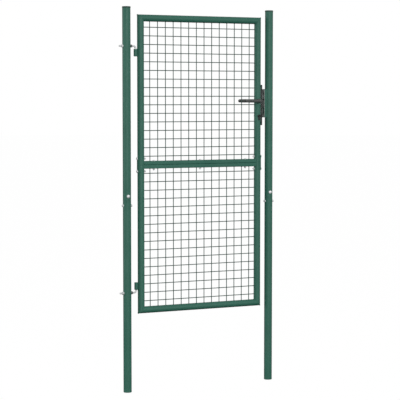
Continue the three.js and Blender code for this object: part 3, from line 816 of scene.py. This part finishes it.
def meshParts(low, high, firstRow, lastRow):
    n = int(round((lastRow - firstRow) / gate["meshPitch"])) + 1
    rows = firstRow + gate["meshPitch"] * np.arange(n)
    columns = gate["centreX"] + gate["meshPitch"] * (np.arange(14) - 6.5)
    up = shell(wireShell(high[2] - low[2], grille["wire"], grille["sides"]))
    uprights = repeated(up, np.stack([columns, 0 * columns - grille["layer"], low[2] + 0 * columns], 1))
    level = wireShell(high[0] - low[0], grille["wire"], grille["sides"])
    across = shell(level[..., [2, 0, 1]])
    lines = repeated(across, np.stack([low[0] + 0 * rows, 0 * rows + grille["layer"], rows], 1))
    cx, cz = [g.ravel() for g in np.meshgrid(columns, rows)]
    flow = repeated(shell(flowShell(2.2)), np.stack([cx, 0 * cx, cz], 1))
    # small fillets where the wires end on the tubes
    foot = shell(turnedGrid("z", (0, 0, 0), [[3.1, -1.2], [3.3, 0.2], [2.6, 1.2], [2.1, 2.6]], 10))
    head = shell(turnedGrid("z", (0, 0, 0), [[2.1, -2.6], [2.6, -1.2], [3.3, -0.2], [3.1, 1.2]], 10))
    side = turnedGrid("x", (0, 0, 0), [[3.1, -1.2], [3.3, 0.2], [2.6, 1.2], [2.1, 2.6]], 10)
    other = turnedGrid("x", (0, 0, 0), [[2.1, -2.6], [2.6, -1.2], [3.3, -0.2], [3.1, 1.2]], 10)
    here = np.stack([columns, 0 * columns - grille["layer"], 0 * columns], 1)
    there = np.stack([0 * rows, 0 * rows + grille["layer"], rows], 1)
    return [uprights, lines, flow, repeated(foot, here + [0, 0, low[2]]), repeated(head, here + [0, 0, high[2]]),
            repeated(shell(side), there + [low[0], 0, 0]), repeated(shell(other), there + [high[0], 0, 0])]


for half, s in (("lower", -1), ("upper", 1)):
    low, high = spanOf(f"{half}_mesh")
    near = gate["middleZ"] + s * gate["meshPitch"]
    far = gate["middleZ"] + s * 16 * gate["meshPitch"]
    makePiece(f"{half}WireMesh", meshParts(low, high, min(near, far), max(near, far)), wireCoat, "leaf",
              [f"{half}_mesh"], 50)
print("mesh ready")


# lock and levers

lock = {"roseHole": 6.4, "forendEdge": 0.7, "forendCorner": 5.0, "screw": 4.6, "rose": 12.0, "roseEdge": 1.2,
        "bend": 11.0, "plug": 6.2, "slotWide": 1.1, "boltEdge": 0.8}
stileX = sweepX["latch"]


def crossScrew(axis, at, sign):
    # a countersunk head: its face dips into a cross, d(r, t) = deep * soft(|cos|, |sin|) inside the recess
    t = (np.arange(48) * 2 * np.pi / 48)[None]
    r = np.array([lock["screw"], lock["screw"] - 0.25, 3.6, 3.0, 2.4, 1.8, 1.2, 0.7, 0.25])[:, None]
    wide = np.minimum(np.abs(r * np.cos(t)), np.abs(r * np.sin(t)))
    dip = 1.5 * np.clip((0.75 - wide) / 0.45, 0, 1) * np.clip((2.9 - r) / 0.5, 0, 1)
    lift = np.array([-0.25, 0, 0, 0.03, 0.05, 0.05, 0.05, 0.05, 0.05])[:, None]
    face = onAxis(axis, r * np.cos(t), r * np.sin(t), sign * (lift - dip))
    body = [[2.3, -12.0], [2.3, -2.4], [4.5, -0.3]]
    body = turnedGrid(axis, (0, 0, 0), [[a, sign * b] for a, b in body], 48)
    grid = np.concatenate([body, face])
    return shell((grid if sign > 0 else grid[::-1]) + np.array(at, float))


def boxOutline(a, b):
    return [[a[0], b[0]], [a[1], b[0]], [a[1], b[1]], [a[0], b[1]]]


low, high = spanOf("lock_forend")
thick = (high[0] - low[0]) / 2
centre = (low + high) / 2
gapZ = 0.35
windows = []
for node in ("latch_bolt", "dead_bolt"):
    a, b = spanOf(node)
    windows.append(roundedOutline((b[1] - a[1]) / 2 + gapZ, (b[2] - a[2]) / 2 + gapZ, 1.2,
                                  (0, (a[2] + b[2]) / 2 - centre[2])))
forendPlate = outlinePlate([roundedOutline((high[1] - low[1]) / 2, (high[2] - low[2]) / 2, lock["forendCorner"])] + windows,
                           thick, lock["forendEdge"],
                           lambda a, b, d: np.stack([centre[0] + d, centre[1] + a, centre[2] + b], 1))
makePiece("lockForend", [forendPlate], darkCoat, "leaf", ["lock_forend"])
for end in ("bottom", "top"):
    a, b = spanOf(f"forend_{end}_screw")
    makePiece(f"forend{end.title()}Screw", [crossScrew("x", (high[0] + 0.05, 0, (a[2] + b[2]) / 2), 1)], zincBright,
              "leaf", [f"forend_{end}_screw"])

# latch bolt: a wedge seen from above, its slope towards the back
low, high = spanOf("latch_bolt")
wedge = [[low[0], low[1]], [high[0], low[1]], [high[0], low[1] + 2], [high[0] - 12, high[1]], [low[0], high[1]]]
latchBolt = outlinePlate([wedge], (high[2] - low[2]) / 2, lock["boltEdge"],
                         lambda a, b, d: np.stack([a, b, (low[2] + high[2]) / 2 + d], 1))
# the latch bolt takes the darkened zinc, painted shade in the gap by the strike
makePiece("latchBolt", [latchBolt], zincPaintedShade, "latch", ["latch_bolt"])
low, high = spanOf("dead_bolt")
deadBolt = outlinePlate([boxOutline((low[1], high[1]), (low[2], high[2]))], (high[0] - low[0]) / 2, lock["boltEdge"],
                        lambda a, b, d: np.stack([(low[0] + high[0]) / 2 + d, a, b], 1))
# the dead bolt takes the darkened zinc too, painted shade in the gap by the strike
makePiece("deadBolt", [deadBolt], zincPaintedShade, "deadbolt", ["dead_bolt"])

# profile cylinder: a circle over a narrower round-ended web
low, high = spanOf("lock_cylinder")
keyZ = high[2] - 8.5
a = np.linspace(math.radians(-53.97), math.radians(233.97), 40)
barrelOutline = np.stack([stileX + 8.5 * np.cos(a), keyZ + 8.5 * np.sin(a)], 1)
a = np.linspace(np.pi, 2 * np.pi, 16)
webOutline = np.stack([stileX + 5 * np.cos(a), low[2] + 5 + 5 * np.sin(a)], 1)
cylinder = outlinePlate([np.concatenate([barrelOutline, webOutline]), circleOutline(lock["plug"] + 0.25, (stileX, keyZ), 40)],
                        (high[1] - low[1]) / 2, 0.6, lambda a, b, d: np.stack([a, (low[1] + high[1]) / 2 + d, b], 1))
makePiece("lockCylinder", [cylinder], blackCoat, "leaf", ["lock_cylinder"])


def keyPlug(yFace, yBack):
    # a round plug whose face is cut by an upright key slot, d(u, v) = deep inside the slot's outline
    sign = 1 if yFace > yBack else -1
    t = (np.arange(64) * 2 * np.pi / 64)[None]
    r = np.array([6.2, 5.9, 5.2, 4.6, 4.0, 3.4, 2.8, 2.2, 1.7, 1.3, 0.9, 0.5])[:, None]
    across, upward = r * np.sin(t), r * np.cos(t)         # for the y axis: z = r cos t, x = r sin t
    slotDip = np.clip((lock["slotWide"] + 0.3 - np.abs(across)) / 0.5, 0, 1) * np.clip((4.6 - np.abs(upward + 0.4)) / 0.5, 0, 1)
    depth = 6.0 * slotDip
    lift = np.where(r > 6.0, -0.3, 0.0)
    face = onAxis("y", upward, across, sign * (lift - depth))
    body = turnedGrid("y", (0, 0, 0), [[6.2, sign * (yBack - yFace) * sign]], 64)
    grid = np.concatenate([body, face])
    grid[..., 1] += yFace
    return shell((grid if sign > 0 else grid[::-1]) + np.array([stileX, 0, keyZ]))


for side, body in (("front", "front_plug"), ("rear", "rear_plug")):
    low, high = spanOf(f"{side}_key_plug")
    face, back = (low[1], high[1]) if side == "front" else (high[1], low[1])
    makePiece(f"{side}KeyPlug", [keyPlug(face, back)], blackCoat, body, [f"{side}_key_plug"])


def roseGrid(sign, face, spindleZ):
    # a round cover whose back follows the stile: h(r, t) = sqrt(stileRadius^2 - x^2), with a rolled front rim
    c, s = unitCircle(64)
    rows = []
    outer, edge = lock["rose"], lock["roseEdge"]
    a = np.linspace(0, np.pi / 2, 5)
    steps = [(lock["roseHole"], None), (outer, None)]
    steps += [(outer - edge * (1 - math.cos(q)), face - edge * (1 - math.sin(q))) for q in a]
    steps += [(lock["roseHole"] + 0.6, face), (lock["roseHole"] + 0.1, face - 0.5), (lock["roseHole"], face - 4)]
    for r, h in steps:
        u, v = r * c, r * s                               # z = u, x = v
        back = np.sqrt(stileRadius ** 2 - v ** 2) + 0.2
        rows.append(onAxis("y", u, v, sign * (back if h is None else h + 0 * u)))
    grid = np.stack(rows)
    return shell((grid if sign > 0 else grid[::-1]) + np.array([stileX, 0, spindleZ]), loop=True)


def leverShell(sign, start, reach, tipX, spindleZ):
    # neck out from the stile, a quarter bend, then the grip, its two half widths falling towards the tip
    bend = lock["bend"]
    y0 = np.linspace(start, reach - bend, 7)[:-1]
    neck = np.stack([stileX + 0 * y0, y0], 1)
    a = np.linspace(0, np.pi / 2, 14)
    turn = np.stack([stileX - bend * (1 - np.cos(a)), reach - bend + bend * np.sin(a)], 1)
    length = stileX - bend - tipX
    q = np.concatenate([np.linspace(0, 0.9, 22)[1:], 1 - 0.1 * np.cos(np.linspace(0, np.pi / 2, 12))[1:]])
    grip = np.stack([stileX - bend - length * q, reach + 0 * q], 1)
    flat = np.concatenate([neck, turn, grip])
    gone = np.append(0, np.cumsum(np.linalg.norm(np.diff(flat, axis=0), axis=1)))
    knots = np.array([0, 10.7, 19, 28, 45, 75, 105, 121])
    up = np.interp(gone, knots, [9.2, 9.2, 9.0, 9.0, 9.5, 10.3, 10.0, 9.0])
    across = np.interp(gone, knots, [9.3, 9.3, 8.4, 6.9, 6.8, 6.5, 6.1, 5.7])
    tip = np.clip((stileX - bend - flat[:, 0]) / length, 0, 1)
    roundOff = np.sqrt(np.clip(1 - np.clip((tip - 0.89) / 0.11, 0, 1) ** 2.2, 0.02, 1))
    path = np.stack([flat[:, 0], sign * flat[:, 1], spindleZ + 0 * gone], 1)
    power = 2.35
    return shell(sweptGrid(path, (0, 0, 1), up * roundOff, across * roundOff, 48, power))


low, high = spanOf("front_lever")
spindleZ = (low[2] + high[2]) / 2
for side, sign in (("front", -1), ("rear", 1)):
    low, high = spanOf(f"{side}_rose")
    face = max(abs(low[1]), abs(high[1]))
    makePiece(f"{side}Rose", [roseGrid(sign, face, spindleZ)], darkCoat, "leaf", [f"{side}_rose"])
    low, high = spanOf(f"{side}_lever")
    start = min(abs(low[1]), abs(high[1]))
    collar = shell(turnedGrid("y", (stileX, 0, spindleZ), sorted(
        [[9.3, sign * (start + 0.1)], [10.6, sign * (start + 0.5)], [10.6, sign * (start + 2.2)],
         [9.6, sign * (start + 2.9)]], key=lambda p: p[1]), 56))
    makePiece(f"{side}Lever", [leverShell(sign, start, 50.0, low[0], spindleZ), collar], darkCoat, "levers",
              [f"{side}_lever"])
print("lock ready")


# strike

strike = {"pocket": 20.0, "edge": 0.6, "corner": 3.5, "window": 1.5, "blockEdge": 1.2, "bead": 1.9}
low, high = spanOf("strike_plate")
centre = (low + high) / 2
holes = [roundedOutline(9.0, strike["pocket"], strike["window"], (0, middleOf(node)[2] - centre[2]))
         for node in ("latch_bolt", "dead_bolt")]
strikePlate = outlinePlate([roundedOutline((high[1] - low[1]) / 2, (high[2] - low[2]) / 2, strike["corner"])] + holes,
                           (high[0] - low[0]) / 2, strike["edge"],
                           lambda a, b, d: np.stack([centre[0] + d, a, centre[2] + b], 1))
# the strike plate's grey carries painted light on top of its own colour
makePiece("strikePlate", [strikePlate], greyPaintedLightCoat, "posts", ["strike_plate"])
for end in ("bottom", "top"):
    a, b = spanOf(f"strike_{end}_screw")
    makePiece(f"strike{end.title()}Screw", [crossScrew("x", (low[0] - 0.05, 0, (a[2] + b[2]) / 2), -1)], zincBright,
              "posts", [f"strike_{end}_screw"])

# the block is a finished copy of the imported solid, its edges rounded over
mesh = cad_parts["strike_box"].data.copy()
mesh.name = "strikeBlock"
mesh.materials.clear()
mesh.materials.append(greenCoat)
mesh.polygons.foreach_set("material_index", np.zeros(len(mesh.polygons), np.int32))
block = bpy.data.objects.new("strikeBlock", mesh)
bpy.context.scene.collection.objects.link(block)
merge = block.modifiers.new("merge", "WELD")
merge.merge_threshold = 0.00002
rounding = block.modifiers.new("edges", "BEVEL")
rounding.width = strike["blockEdge"] * 0.001
rounding.segments = 2
rounding.limit_method = "ANGLE"
rounding.angle_limit = math.radians(40)
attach(block, "posts")
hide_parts("strike_box")

low, high = spanOf("strike_box")
zs = np.arange(low[2] + 2, high[2] - 1.5, 0.95)
beads = []
for y in (-15.3, 15.3):
    edgeX = gate["latchPostX"] - math.sqrt(post["radius"] ** 2 - y ** 2)
    beads.append(weldBead(np.stack([edgeX - 0.2 + 0 * zs, y + 0 * zs, zs], 1), (0, math.copysign(1, y), 0), strike["bead"], 0.14))
makePiece("strikeWelds", beads, beadCoat, "posts")
print("strike ready")


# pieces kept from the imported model

for node in ("hinge_post_sleeve", "latch_post_sleeve", "hinge_stile_sleeve", "latch_stile_sleeve", "lock_case",
             "lever_hub", "lever_spindle"):
    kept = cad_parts[node]
    for place in kept.material_slots:
        place.material = innerSteel


# floor, light and camera

studio = {"backdrop": 1.0, "dome": 0.47, "floorTone": 0.02, "key": 790.0, "left": 46.0, "right": 77.0,
          "foot": 36.0, "rear": 121.0}


def seenOrLit(tree, seen, lit):
    # one value for what the camera sees, another for the light that reaches the gate
    path = tree.nodes.new("ShaderNodeLightPath")
    node = tree.nodes.new("ShaderNodeMix")
    node.inputs[2].default_value = lit
    node.inputs[3].default_value = seen
    tree.links.new(path.outputs["Is Camera Ray"], node.inputs[0])
    return node.outputs[0]


c, s = unitCircle(96)
ringRadii = np.array([60.0, 12.0, 3.0, 0.02])[:, None]
ground = np.stack([ringRadii * c, ringRadii * s, np.full((4, 96), -0.0005)], -1)
corners = np.append(gridFaces(4, 96, False).ravel(), 3 * 96 + np.arange(96))
floorMesh = newMesh("floor", ground, corners, np.append(np.full(3 * 96, 4), 96))
floor = bpy.data.objects.new("floor", floorMesh)
bpy.context.scene.collection.objects.link(floor)
floorFinish = bpy.data.materials.new("paleFloor")
floorFinish.use_nodes = True
floorTree = floorFinish.node_tree
floorShader = floorTree.nodes["Principled BSDF"]
floorShader.inputs["Base Color"].default_value = (studio["floorTone"],) * 3 + (1,)
floorShader.inputs["Roughness"].default_value = 0.95
floorShader.inputs["Specular IOR Level"].default_value = 0.0
floorShader.inputs["Emission Color"].default_value = (1, 1, 1, 1)
floorTree.links.new(seenOrLit(floorTree, 0.985, 0.0), floorShader.inputs["Emission Strength"])
floorMesh.materials.append(floorFinish)

world = bpy.data.worlds.new("studio")
bpy.context.scene.world = world
world.use_nodes = True
backdrop = world.node_tree.nodes["Background"]
backdrop.inputs["Color"].default_value = (1, 1, 1, 1)
world.node_tree.links.new(seenOrLit(world.node_tree, studio["backdrop"], studio["dome"]), backdrop.inputs["Strength"])


def areaLight(name, power, size, place, target):
    light = bpy.data.lights.new(name, "AREA")
    light.energy = power
    light.shape = "RECTANGLE"
    light.size, light.size_y = size
    lamp = bpy.data.objects.new(name, light)
    bpy.context.scene.collection.objects.link(lamp)
    lamp.location = place
    away = np.array(place) - np.array(target)
    flat = math.hypot(away[0], away[1])
    lamp.rotation_euler = (math.atan2(flat, away[2]), 0, math.atan2(away[0], -away[1]))
    return lamp


areaLight("keyLight", studio["key"], (6.0, 3.4), (-1.2, -12.0, 5.0), (0, 0, 0.6))
areaLight("leftLight", studio["left"], (3.0, 3.0), (-6.0, -3.4, 1.0), (0, 0, 0.8))
areaLight("rightLight", studio["right"], (2.0, 4.0), (6.5, -3.5, 1.8), (0, 0, 1.0))
areaLight("footLight", studio["foot"], (4.0, 0.6), (-1.6, -5.0, 0.35), (0, 0, 0.3))
areaLight("rearLight", studio["rear"], (2.0, 4.0), (-6.0, 2.0, 1.8), (0, 0, 1.0))

bpy.context.scene.view_settings.view_transform = "Standard"
lens = bpy.data.cameras.new("camera")
lens.lens = 129.7
lens.sensor_width = 36.0
lens.clip_end = 200.0
camera = bpy.data.objects.new("camera", lens)
bpy.context.scene.collection.objects.link(camera)
camera.location = (-3.626, -7.7521, 1.7184)
camera.rotation_euler = (math.radians(85.98), 0, math.radians(-25.14))
bpy.context.scene.camera = camera

print("stage ready")
